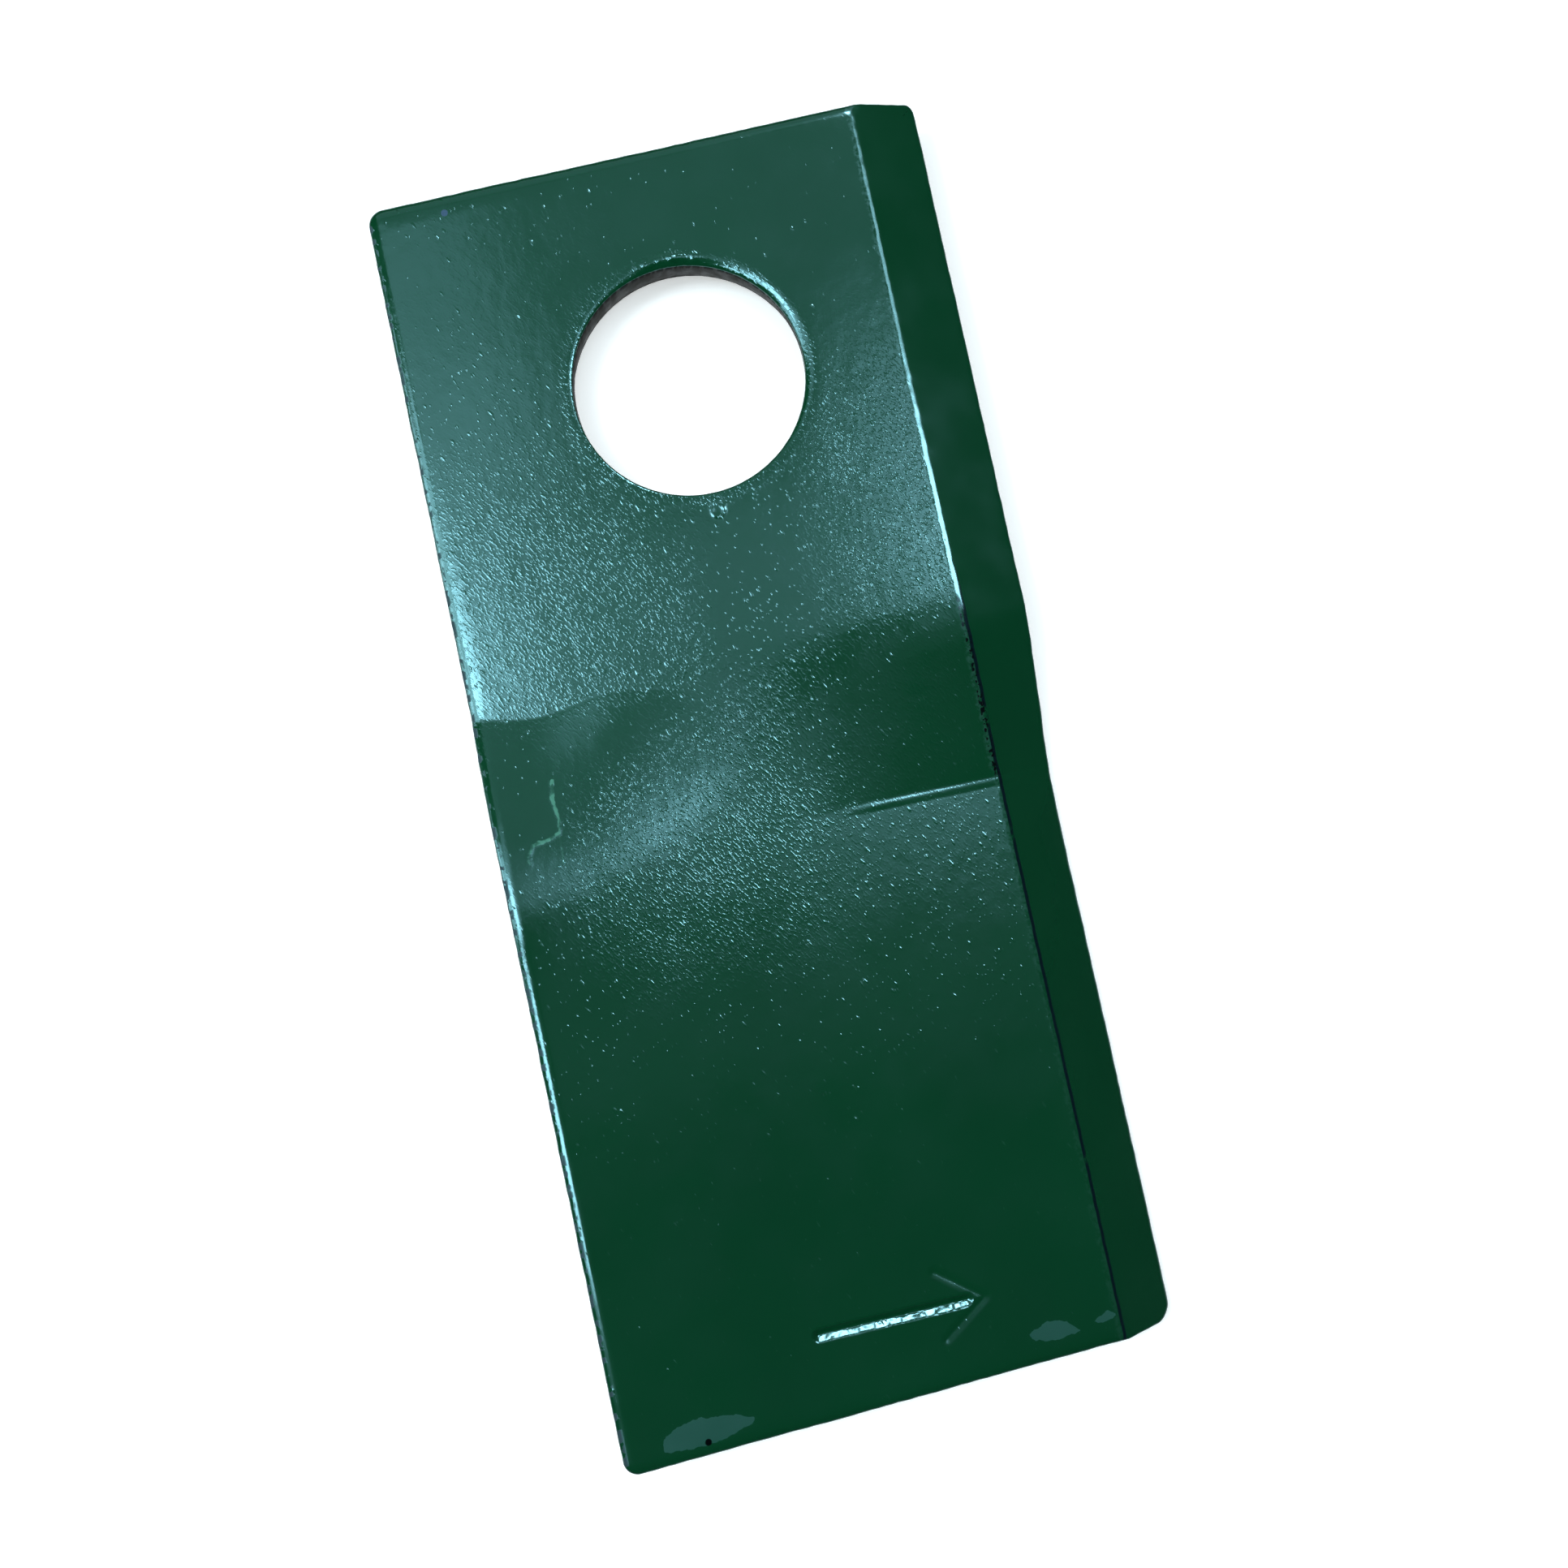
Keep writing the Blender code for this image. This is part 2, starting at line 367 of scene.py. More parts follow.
def burr(x, y):
    """Torn ridge on the face beside the pin hole, on the side of the head end."""
    angle = np.arctan2(y - HOLE_Y, x) - BURR_MIDDLE
    around = 1 - np.clip(np.abs(angle) / BURR_HALF_ANGLE, 0.0, 1.0) ** 2
    radius = np.hypot(x, y - HOLE_Y)
    ridge = np.exp(-(((radius - BURR_RADIUS) / BURR_HALF_WIDTH) ** 2))
    torn = 0.6 + 0.8 * perlin(x, y, 0 * x, 0.5)
    return BURR_HEIGHT * around * ridge * np.maximum(torn, 0.0)


def face_height(x, y):
    """Height of the face of the flat blade."""
    distance, _, _ = edge_distance(x, y)
    roll = SHEAR_ROLL_DEPTH * np.clip(1 - distance / SHEAR_ROLL_WIDTH, 0.0, 1.0) ** 2
    line = even_shoulder(y)
    shoulder = line + nicks(y) * smooth_share(x, line + 1.0, line + 0.2)
    drop = np.maximum(roll, bevel_drop(x, shoulder)) + rounded_drop(distance, PAINT_ROUND)
    side = 0.5 + 0.5 * np.cos(np.arctan2(y - HOLE_Y, x) - HOLE_LIP_WIDEST)
    share = mix(HOLE_LIP_LEAST_SHARE, 1.0, side**2)
    inwards = hole_distance(x, y) * HOLE_LIP / HOLE_LIP_WIDTH
    drop += share * rounded_drop(inwards / share, HOLE_LIP)
    shaft, barbs = arrow_distance(x, y)
    torn = 0.05 * perlin(x, y, 0 * x + 5.0, 0.4)
    shaft = np.clip(1 - (shaft + torn) / ARROW_HALF_WIDTH, 0.0, 1.0)
    barbs = np.clip(1 - barbs / ARROW_HALF_WIDTH, 0.0, 1.0) ** 1.5
    drop += ARROW_DEPTH * np.maximum(shaft, ARROW_BARB_SHARE * barbs)
    drop += imprint(x, y)
    run = np.clip(1 - line_distance(x, y, PAINT_RUN) / PAINT_RUN_HALF, 0.0, 1.0)
    ragged = np.exp(-(((x - line + 0.15) / 0.2) ** 2)) * perlin(x, y, 0 * x, 0.7)
    raised = burr(x, y) + crater(x, y) + SHOULDER_BURR * ragged
    return HALF - drop + raised + PAINT_RUN_HEIGHT * run**2


def underside_height(x, y):
    """Height of the underside of the flat blade, with its bevel along the trailing edge."""
    distance, _, _ = edge_distance(x, y)
    rise = bevel_drop(-x, BEVEL_LINE) + rounded_drop(distance, PAINT_ROUND)
    return -HALF + rise


def rounded_ramp(distance, half):
    """0 before the bend and distance after it, with the corner rounded over half on each side."""
    rounded = (distance + half) ** 2 / (4 * half)
    return np.where(distance <= -half, 0.0, np.where(distance >= half, distance, rounded))


def pressed(x, y, z):
    """Where points of the flat blade go when it is twisted, laid to rest and lifted."""
    station = LENGTH / 2 - y
    start, end = crease_stations(x)
    side = np.clip(x / CENTRE_BLEND_HALF, -1.0, 1.0)
    share = 0.5 + side * z / THICKNESS
    soft_first = rounded_ramp(station - start, SOFT_START_HALF) - rounded_ramp(
        station - end, TOOL_NOSE_HALF
    )
    sharp_first = rounded_ramp(station - start, TOOL_NOSE_HALF) - rounded_ramp(
        station - end, SOFT_END_HALF
    )
    turned = mix(sharp_first, soft_first, share) / (end - start)
    angle = TWIST_ANGLE * (0.5 - turned) + REST_ROLL
    return x * np.cos(angle) - z * np.sin(angle), y, x * np.sin(angle) + z * np.cos(angle)


def outline(inset):
    """Plan of the blank as a counterclockwise ring of points, moved inwards by inset."""
    half_width = WIDTH / 2 - inset
    half_length = LENGTH / 2 - inset
    corners = (
        (1, 1, CORNER_HEAD_CUTTING),
        (-1, 1, CORNER_HEAD_TRAILING),
        (-1, -1, CORNER_TIP_TRAILING),
        (1, -1, CORNER_TIP_CUTTING),
    )
    arcs = []
    for quarter, (side, end, full_radius) in enumerate(corners):
        radius = max(full_radius - inset, full_radius / 8)
        middle_x = side * (half_width - radius)
        middle_y = end * (half_length - radius)
        steps = 10
        arc = []
        for step in range(steps + 1):
            angle = (quarter + step / steps) * math.pi / 2
            arc.append((middle_x + radius * math.cos(angle), middle_y + radius * math.sin(angle)))
        arcs.append(arc)
    ring = []
    for arc, following, run in zip(arcs, arcs[1:] + arcs[:1], (WIDTH, LENGTH, WIDTH, LENGTH)):
        ring += arc
        count = int(run / RING_SPACING)
        (ax, ay), (bx, by) = arc[-1], following[0]
        for step in range(1, count):
            ring.append((mix(ax, bx, step / count), mix(ay, by, step / count)))
    return ring


def hole_ring(radius):
    angles = [2 * math.pi * side / HOLE_SIDES for side in range(HOLE_SIDES)]
    return [(radius * math.cos(a), HOLE_Y + radius * math.sin(a)) for a in angles]


def lattice(low_x, high_x, low_s, high_s, step_x, step_s):
    """Staggered points over a rectangle, which runs along the blade from low_s to high_s."""
    points = []
    rows = int((high_s - low_s) / step_s) + 1
    for row in range(rows):
        y = LENGTH / 2 - low_s - row * step_s
        x = low_x + (row % 2) * step_x / 2
        while x <= high_x:
            points.append((x, y))
            x += step_x
    return points


def shoulder_lines(side):
    """Rows of points along the shoulder of a bevel."""
    points = []
    for offset in (-0.7, -0.5, -0.35, -0.22, -0.11, 0.0, 0.11, 0.22, 0.35, 0.5):
        for step in range(int(LENGTH / SHOULDER_SPACING)):
            y = LENGTH / 2 - (step + 0.5) * SHOULDER_SPACING
            points.append((side * (BEVEL_LINE + offset), y))
    return points


def face_zones():
    """Layers of points on the face, each with the least distance it keeps from those before."""
    twist_end = TWIST_START + TWIST_RUN
    arrow = lattice(-7.6, 8.8, 99.2, 106.7, 0.14, 0.12)
    start_crease = lattice(-25, 0, TWIST_START - 1.1, TWIST_START + 1.1, 0.3, 0.1)
    end_crease = lattice(0, 25, twist_end - 0.6, twist_end + 1.0, 0.3, 0.08)
    torn_ridge = lattice(-5.5, 3.0, 7.9, 10.9, 0.17, 0.15)
    burst_bubble = lattice(-1.1, 1.3, 31.4, 33.7, 0.12, 0.1)
    trailing_patch = lattice(-22.0, -12.5, 106.2, 109.4, 0.2, 0.18)
    cutting_patches = lattice(10.4, 19.6, 106.0, 108.8, 0.2, 0.18)
    paint_run = lattice(-23.2, -18.0, 52.0, 59.8, 0.18, 0.16)
    twist = lattice(-25, 25, TWIST_START - 3, twist_end + 3, 0.5, 0.44)
    whole = lattice(-25, 25, 0, LENGTH, FACE_SPACING, FACE_SPACING * ROW_SHARE)
    return (
        (0.04, shoulder_lines(1)),
        (0.08, arrow),
        (0.08, start_crease),
        (0.06, end_crease),
        (0.1, torn_ridge),
        (0.06, burst_bubble),
        (0.1, trailing_patch),
        (0.1, cutting_patches),
        (0.1, paint_run),
        (0.3, twist),
        (0.5, whole),
    )


def underside_zones():
    """Layers of points on the underside, in the same way."""
    twist_end = TWIST_START + TWIST_RUN
    start_crease = lattice(0, 25, TWIST_START - 0.6, TWIST_START + 0.6, 0.4, 0.1)
    end_crease = lattice(-25, 0, twist_end - 0.6, twist_end + 0.6, 0.4, 0.1)
    twist = lattice(-25, 25, TWIST_START - 3, twist_end + 3, 0.6, 0.5)
    whole = lattice(-25, 25, 0, LENGTH, 1.2, 1.04)
    return (
        (0.04, shoulder_lines(-1)),
        (0.08, start_crease),
        (0.08, end_crease),
        (0.3, twist),
        (0.7, whole),
    )


def plan_mesh(hole_radius, zones):
    """Triangles over the plan of one side. The outline's points come first, then the hole's."""
    rim = outline(0.0)
    points = rim + hole_ring(hole_radius)
    ring_edges = [(i, (i + 1) % len(rim)) for i in range(len(rim))]
    ring_edges += [
        (len(rim) + i, len(rim) + (i + 1) % HOLE_SIDES) for i in range(HOLE_SIDES)
    ]
    for inset in LIP_INSETS[1:]:
        points += hole_ring(hole_radius + inset)
    for inset in EDGE_INSETS[1:]:
        points += outline(inset)
    for clearance, candidates in zones:
        tree = kdtree.KDTree(len(points))
        for index, (x, y) in enumerate(points):
            tree.insert((x, y, 0.0), index)
        tree.balance()
        xs, ys = np.array(candidates).T
        inside = edge_distance(xs, ys)[0] > EDGE_INSETS[-1] + clearance
        outside_hole = np.hypot(xs, ys - HOLE_Y) > hole_radius + LIP_INSETS[-1] + clearance
        kept = [c for c, fits in zip(candidates, inside & outside_hole) if fits]
        points += [(x, y) for x, y in kept if tree.find((x, y, 0.0))[2] > clearance]
    places, _, triangles, sources, _, _ = delaunay_2d_cdt(
        [Vector(point) for point in points], ring_edges, [], 0, 1e-6
    )
    source = [min(found) for found in sources]
    triangles = np.array([[source[i] for i in face] for face in triangles])
    plan = np.array(points)
    middle = plan[triangles].mean(axis=1)
    on_blade = edge_distance(middle[:, 0], middle[:, 1])[0] > 0.001
    beside_hole = np.hypot(middle[:, 0], middle[:, 1] - HOLE_Y) > hole_radius * 0.999
    return plan, triangles[on_blade & beside_hole], len(rim)


def band(lower, upper):
    """Triangles of the wall between two rings of vertex numbers, facing away from the metal."""
    faces = []
    for i in range(len(lower)):
        j = (i + 1) % len(lower)
        faces.append((lower[i], lower[j], upper[j]))
        faces.append((lower[i], upper[j], upper[i]))
    return faces


def wobble_plan(x, y, z):
    """Moves the outline in by the small unevenness of a sheared and painted edge."""
    distance, out_x, out_y = edge_distance(x, y)
    near = np.clip(1 - distance / 1.4, 0.0, 1.0) ** 2
    slow = perlin(x, y, 0 * z + 3.0, 4.0)
    fast = perlin(x, y, z, 0.9)
    move = -EDGE_WOBBLE * near * (0.35 + 0.3 * slow + 0.35 * fast)
    return x + out_x * move, y + out_y * move


def blade_geometry():
    """Flat places, pressed places and triangles of the blade, with the hole's wall marked."""
    face_plan, face_triangles, rim_count = plan_mesh(HOLE_RADIUS, face_zones())
    under_plan, under_triangles, _ = plan_mesh(HOLE_RADIUS + HOLE_BREAKOUT, underside_zones())
    face = np.column_stack([face_plan, face_height(*face_plan.T)])
    under = np.column_stack([under_plan, underside_height(*under_plan.T)])
    blocks = [face, under]
    triangles = [face_triangles, under_triangles[:, ::-1] + len(face)]
    count = len(face) + len(under)

    top = face[:rim_count]
    bottom = under[:rim_count]
    below = list(range(len(face), len(face) + rim_count))
    walls = []
    for level in range(1, WALL_LEVELS):
        ring = mix(bottom, top, level / WALL_LEVELS)
        blocks.append(ring)
        above = list(range(count, count + rim_count))
        walls += band(below, above)
        below = above
        count += rim_count
    walls += band(below, list(range(rim_count)))
    triangles.append(np.array(walls))

    hole_top = face[rim_count : rim_count + HOLE_SIDES]
    angles = np.arctan2(hole_top[:, 1] - HOLE_Y, hole_top[:, 0])
    sheared = HALF - HOLE_SHEARED_DEPTH
    levels = (
        (HOLE_RADIUS + HOLE_BREAKOUT, -HALF + 0.05),
        (HOLE_RADIUS + HOLE_BREAKOUT * 0.66, mix(-HALF, sheared, 0.3)),
        (HOLE_RADIUS + HOLE_BREAKOUT * 0.33, mix(-HALF, sheared, 0.65)),
        (HOLE_RADIUS, sheared),
        (HOLE_RADIUS, mix(sheared, HALF - HOLE_LIP, 0.5)),
    )
    around_x = 3 * HOLE_RADIUS * np.cos(angles)
    around_y = 3 * HOLE_RADIUS * np.sin(angles)
    below = list(range(len(face) + rim_count, len(face) + rim_count + HOLE_SIDES))
    hole_walls = []
    for radius, height in levels:
        heights = np.full(HOLE_SIDES, height)
        tear = WALL_ROUGHNESS * (height < sheared)
        torn = radius + tear * perlin(around_x, around_y, heights, 2.0)
        ring = np.column_stack([torn * np.cos(angles), HOLE_Y + torn * np.sin(angles), heights])
        blocks.append(ring)
        above = list(range(count, count + HOLE_SIDES))
        hole_walls += band(above, below)
        below = above
        count += HOLE_SIDES
    hole_walls += band(list(range(rim_count, rim_count + HOLE_SIDES)), below)
    triangles.append(np.array(hole_walls))

    flat = np.concatenate(blocks)
    faces = np.concatenate(triangles)
    on_wall = np.zeros(len(faces), int)
    on_wall[-len(hole_walls) :] = 1
    x, y = wobble_plan(*flat.T)
    places = np.column_stack(pressed(x, y, flat[:, 2]))
    places[:, 2] -= places[:, 2].min()
    return flat, places, faces, on_wall


def float_attribute(mesh, name, values):
    attribute = mesh.attributes.new(name, "FLOAT", "POINT")
    attribute.data.foreach_set("value", np.asarray(values, np.float32))


def build_blade():
    flat, places, faces, on_wall = blade_geometry()
    mesh = bpy.data.meshes.new("painted_blade")
    mesh.from_pydata((places * MM).tolist(), [], faces.tolist())
    mesh.materials.append(green_paint())
    mesh.materials.append(hole_wall_paint_and_shade())
    mesh.polygons.foreach_set("material_index", on_wall.astype(np.int32))
    flat_places = mesh.attributes.new("flat_place", "FLOAT_VECTOR", "POINT")
    flat_places.data.foreach_set("vector", flat.astype(np.float32).ravel())
    shoulder = even_shoulder(flat[:, 1]) + nicks(flat[:, 1])
    float_attribute(mesh, "shoulder_distance", flat[:, 0] - shoulder)
    float_attribute(mesh, "patch_distance", patch_distance(flat[:, 0], flat[:, 1]))
    float_attribute(mesh, "run_distance", line_distance(flat[:, 0], flat[:, 1], PAINT_RUN))
    float_attribute(mesh, "thread_distance", line_distance(flat[:, 0], flat[:, 1], PAINT_THREAD))
    mesh.shade_smooth()
    mesh.validate()
    blade = bpy.data.objects.new("painted_blade", mesh)
    bpy.context.scene.collection.objects.link(blade)
    return blade


class Nodes:
    """Short ways to add and join nodes in one material."""

    def __init__(self, name):
        self.material = bpy.data.materials.new(name)
        self.material.use_nodes = True
        self.tree = self.material.node_tree
        self.shader = self.tree.nodes["Principled BSDF"]

    def put(self, socket, value):
        if isinstance(value, bpy.types.NodeSocket):
            self.tree.links.new(value, socket)
        else:
            socket.default_value = value

    def add(self, kind, output, settings=None, **inputs):
        node = self.tree.nodes.new(kind)
        for name, value in (settings or {}).items():
            setattr(node, name, value)
        for name, value in inputs.items():
            self.put(node.inputs[name.replace("_", " ")], value)
        return node.outputs[output]

    def math(self, operation, first, *rest):
        """One value from several, by a chain of Math nodes, or from one alone."""
        for value in rest or (0.0,):
            node = self.tree.nodes.new("ShaderNodeMath")
            node.operation = operation
            self.put(node.inputs[0], first)
            self.put(node.inputs[1], value)
            first = node.outputs[0]
        return first

    def product(self, *values):
        return self.math("MULTIPLY", *values)

    def vector(self, operation, a, b):
        node = self.tree.nodes.new("ShaderNodeVectorMath")
        node.operation = operation
        self.put(node.inputs[0], a)
        self.put(node.inputs[1], b)
        return node.outputs[0]

    def ramp(self, value, low, high, to_low=0.0, to_high=1.0):
        """Smooth step of a value from low to high."""
        node = self.tree.nodes.new("ShaderNodeMapRange")
        node.interpolation_type = "SMOOTHSTEP"
        for socket, setting in zip(node.inputs, (value, low, high, to_low, to_high)):
            self.put(socket, setting)
        return node.outputs[0]

    def blend(self, share, a, b):
        """Colour from a to b."""
        node = self.tree.nodes.new("ShaderNodeMix")
        node.data_type = "RGBA"
        self.put(node.inputs[0], share)
        self.put(node.inputs[6], a)
        self.put(node.inputs[7], b)
        return node.outputs[2]

    def attribute(self, name, output):
        return self.add("ShaderNodeAttribute", output, {"attribute_name": name})

    def noise(self, place, size, detail=2.0, output="Fac"):
        """Noise with features of a size in millimetres."""
        return self.add(
            "ShaderNodeTexNoise", output, Vector=place, Scale=1.0 / size, Detail=detail
        )

    def ragged(self, distance, place, size):
        """A distance made uneven by noise, by up to a quarter of a millimetre."""
        uneven = self.math("SUBTRACT", self.noise(place, size), 0.5)
        return self.math("ADD", distance, self.product(uneven, 0.5))

    def spot(self, place, centre, radius):
        """1 inside a round spot on the blade."""
        station, across = centre
        node = self.tree.nodes.new("ShaderNodeVectorMath")
        node.operation = "DISTANCE"
        self.put(node.inputs[0], self.scaled(place, 1.0, 1.0, 0.0))
        self.put(node.inputs[1], (across, LENGTH / 2 - station, 0.0))
        return self.ramp(node.outputs["Value"], radius * 1.15, radius * 0.85)

    def scaled(self, place, x, y, z):
        return self.vector("MULTIPLY", place, (x, y, z))

    def drawn_out(self, place, degrees, length):
        """Place for features drawn out in a direction, in degrees from the blade's X."""
        return self.add(
            "ShaderNodeMapping",
            "Vector",
            {"vector_type": "TEXTURE"},
            Vector=place,
            Rotation=(0.0, 0.0, math.radians(degrees)),
            Scale=(length, 1.0, 1.0),
        )


def nib_height(nodes, place, cell, least, most, share):
    """Height of specks in the paint: one in some cells, between two radii in millimetres."""
    warp = nodes.noise(place, cell * 0.6, output="Color")
    centred = nodes.vector("SUBTRACT", warp, (0.5, 0.5, 0.5))
    bend = 0.45 * cell
    moved = nodes.vector("ADD", place, nodes.scaled(centred, bend, bend, bend))
    voronoi = nodes.tree.nodes.new("ShaderNodeTexVoronoi")
    voronoi.voronoi_dimensions = "2D"
    nodes.put(voronoi.inputs["Vector"], moved)
    nodes.put(voronoi.inputs["Scale"], 1.0 / cell)
    pick = nodes.add("ShaderNodeSeparateColor", "Red", Color=voronoi.outputs["Color"])
    size = nodes.add("ShaderNodeSeparateColor", "Green", Color=voronoi.outputs["Color"])
    present = nodes.math("LESS_THAN", pick, share)
    radius = nodes.math("MULTIPLY_ADD", size, (most - least) / cell)
    nodes.put(radius.node.inputs[2], least / cell)
    near = nodes.ramp(voronoi.outputs["Distance"], radius, 0.0)
    return nodes.product(near, present)


def paint_regions(nodes, place, x, y, rough):
    """How crowded the dust is, and shares of the waist, the trailing half and beside the hole."""
    clusters = nodes.ramp(nodes.noise(place, 9.0, detail=3.0), 0.35, 0.65, 0.25, 0.6)
    below_head_end = nodes.ramp(y, 46.0, 32.0, 0.35, 1.0)
    head_corner = nodes.product(nodes.ramp(y, 26.0, 38.0), nodes.ramp(x, -8.0, 2.0))
    cleaner = nodes.ramp(head_corner, 0.0, 1.0, 1.0, 0.2)
    turned = nodes.product(nodes.ramp(y, 12.0, 8.0), nodes.ramp(y, -7.0, -4.0))
    outer = nodes.ramp(nodes.math("ABSOLUTE", x), 5.0, 11.0, 0.0, 0.7)
    calm = nodes.math("SUBTRACT", 1.0, nodes.product(turned, outer))
    crowd = nodes.product(rough, clusters, below_head_end, cleaner, calm)

    slanted = nodes.math("SUBTRACT", y, nodes.product(x, 0.45))
    waist = nodes.product(
        nodes.ramp(slanted, 13.0, 3.0),
        nodes.ramp(y, -26.0, -6.0),
        nodes.ramp(x, -22.0, -15.0),
        nodes.ramp(x, 8.0, -7.0, 0.25, 1.0),
        rough,
    )
    trailing_half = nodes.product(
        nodes.ramp(x, 2.0, -6.0),
        nodes.ramp(y, 40.0, 22.0),
        nodes.ramp(y, 4.0, 9.0),
    )
    beside_hole = nodes.product(
        nodes.ramp(x, 5.0, 12.0),
        nodes.ramp(y, 38.0, 26.0),
        nodes.ramp(y, 8.0, 12.0),
        rough,
    )
    return crowd, waist, trailing_half, beside_hole


def paint_relief(nodes, place, x, y, rough):
    """Height of the paint in millimetres, and where its dust nibs are."""
    crowd, waist, trailing_half, beside_hole = paint_regions(nodes, place, x, y, rough)
    few = nodes.math(
        "ADD",
        nodes.product(nodes.math("MAXIMUM", waist, trailing_half), 0.3),
        nodes.product(crowd, 0.8),
    )
    many = nodes.math("ADD", crowd, nodes.product(waist, 0.5), nodes.product(beside_hole, 0.3))
    coarse = nib_height(nodes, nodes.drawn_out(place, -60.0, 2.6), 0.8, 0.08, 0.15, few)
    fine = nib_height(nodes, nodes.drawn_out(place, -70.0, 2.6), 0.4, 0.05, 0.085, many)

    from_hole = nodes.add(
        "ShaderNodeVectorMath",
        "Value",
        {"operation": "LENGTH"},
        Vector=nodes.vector("SUBTRACT", place, (0.0, HOLE_Y, HALF)),
    )
    sandy = nodes.math(
        "MAXIMUM",
        nodes.product(nodes.math("MAXIMUM", waist, beside_hole), 1.5),
        nodes.product(trailing_half, 0.8),
        nodes.ramp(from_hole, HOLE_RADIUS + 1.8, HOLE_RADIUS + 0.9),
        0.2,
    )
    strokes = nodes.noise(nodes.drawn_out(place, -55.0, 2.2), 0.20, detail=1.0)
    grain = nodes.ramp(strokes, 0.48, 0.72)
    patchy = nodes.ramp(
        nodes.noise(place, 5.0), 0.35, 0.60, GRAIN_HEIGHT_LEAST, GRAIN_HEIGHT_MOST
    )
    peel = nodes.noise(nodes.scaled(place, 1.0, 0.75, 1.0), 1.3, detail=1.0)
    skin = nodes.math(
        "ADD", nodes.product(peel, ORANGE_PEEL_HEIGHT), nodes.product(grain, sandy, patchy)
    )
    relief = nodes.math(
        "ADD",
        nodes.product(coarse, COARSE_NIB_HEIGHT),
        nodes.product(fine, FINE_NIB_HEIGHT),
        nodes.product(skin, rough),
    )
    return relief, nodes.math("ADD", coarse, fine)


def dried_paint(nodes, place, on_face):
    """Where a run and a thread of paint have dried pale."""
    run = nodes.ragged(nodes.attribute("run_distance", "Fac"), place, 0.8)
    thread = nodes.ramp(nodes.attribute("thread_distance", "Fac"), 0.12, 0.04, 0.0, 0.3)
    either = nodes.math("MAXIMUM", nodes.ramp(run, 0.20, 0.07), thread)
    broken = nodes.ramp(nodes.noise(place, 1.2, detail=4.0), 0.42, 0.54, 0.15, 1.0)
    return nodes.product(either, broken, on_face)


def shoulder_wear_and_painted_light(nodes, green, place, shoulder, y, on_face):
    """Adds the bevel's shoulder to a colour: a pale strip that is rubbed paint and painted
    highlight, and past the bend a dark line of painted shade and dark pits.
    """
    ragged = nodes.product(nodes.noise(place, 0.6, detail=3.0), 0.9)
    # Pale strip along the shoulder: partly rubbed paint, partly a painted highlight of its
    # rounding, so it is strongest on the head half
    pale = nodes.product(
        nodes.ramp(nodes.math("ADD", shoulder, ragged), -0.1, 0.3),
        nodes.ramp(shoulder, 0.1, 0.0),
        nodes.ramp(nodes.noise(place, 0.3), 0.40, 0.58, 0.1, 0.8),
        nodes.ramp(y, 8.0, 16.0, 0.35, 1.0),
        nodes.ramp(y, -30.0, -10.0, 0.4, 1.0),
        on_face,
    )
    green = nodes.blend(pale, green, RUBBED_AND_HIGHLIGHT_PALE)

    past_bend = nodes.product(nodes.ramp(y, 16.0, 8.0), on_face)
    # Dark line along the shoulder past the bend: painted shade, where the rounding reflects dark
    line = nodes.product(
        nodes.ramp(shoulder, 0.02, 0.10),
        nodes.ramp(shoulder, 0.42, 0.32),
        nodes.ramp(nodes.noise(place, 2.5, detail=3.0), 0.34, 0.42),
        past_bend,
    )
    green = nodes.blend(line, green, SHOULDER_PAINTED_SHADE)
    pits = nodes.product(
        nodes.ramp(nodes.noise(place, 0.38, detail=1.0), 0.50, 0.57),
        nodes.ramp(nodes.math("ABSOLUTE", shoulder), 0.3, 0.2),
        nodes.ramp(y, -5.5, -4.5),
        past_bend,
    )
    return nodes.blend(pits, green, PIT_DARK)


